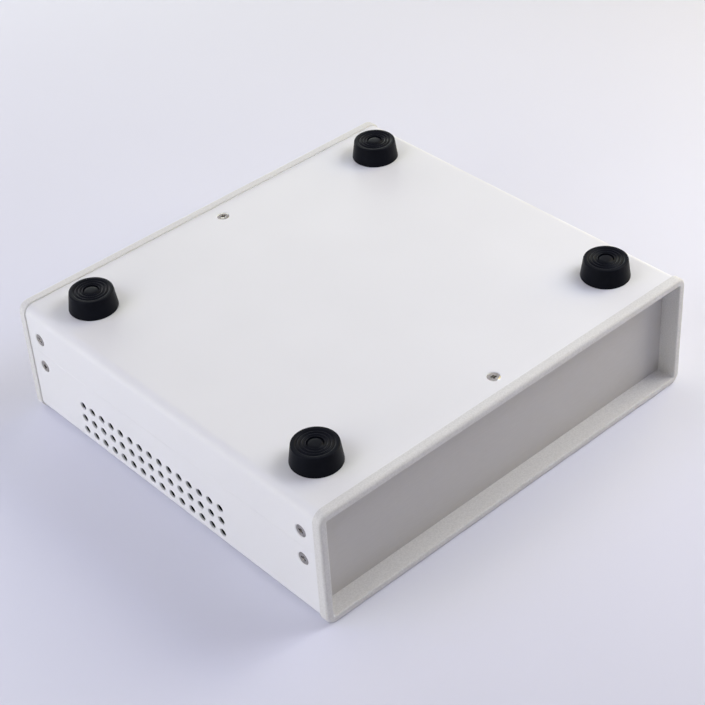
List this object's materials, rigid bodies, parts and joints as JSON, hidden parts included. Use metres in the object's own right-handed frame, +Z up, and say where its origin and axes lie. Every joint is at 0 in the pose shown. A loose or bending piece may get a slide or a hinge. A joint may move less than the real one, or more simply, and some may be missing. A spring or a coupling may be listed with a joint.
{
  "type": "metal enclosure",
  "caption": "Low desktop instrument enclosure lying on its top: folded steel covers with side vents, moulded end bezels round recessed panels, and rubber feet facing up.",
  "frame": {"origin": "on the surface that the case lies on, under the middle of the case", "axes": "+X to the right along the front bezel, +Y from the front bezel to the rear one, +Z up towards the feet: the case lies on its top side, as in the picture"},
  "size_m": [0.19, 0.177, 0.0588],
  "materials": {
    "coated_steel": "white fine powder coat",
    "bezel_plastic": "warm light grey moulded, fine spark texture",
    "panel_grey": "matt grey anodised sheet",
    "foot_rubber": "black moulded rubber, satin",
    "rivet_plastic": "black nylon",
    "screw_steel": "bright nickel plated"
  },
  "bodies": {
    "root": {"bottom_cover": "coated_steel", "top_cover": "coated_steel", "front_bezel": "bezel_plastic", "rear_bezel": "bezel_plastic", "front_panel": "panel_grey", "rear_panel": "panel_grey", "foot_left_front": "foot_rubber", "foot_rivet_left_front": "rivet_plastic", "top_cover_screw_left_front": "screw_steel", "bottom_cover_screw_left_front": "screw_steel", "foot_left_rear": "foot_rubber", "foot_rivet_left_rear": "rivet_plastic", "top_cover_screw_left_rear": "screw_steel", "bottom_cover_screw_left_rear": "screw_steel", "foot_right_front": "foot_rubber", "foot_rivet_right_front": "rivet_plastic", "top_cover_screw_right_front": "screw_steel", "bottom_cover_screw_right_front": "screw_steel", "foot_right_rear": "foot_rubber", "foot_rivet_right_rear": "rivet_plastic", "top_cover_screw_right_rear": "screw_steel", "bottom_cover_screw_right_rear": "screw_steel", "base_screw_front": "screw_steel", "base_screw_rear": "screw_steel"}
  },
  "joints": []
}
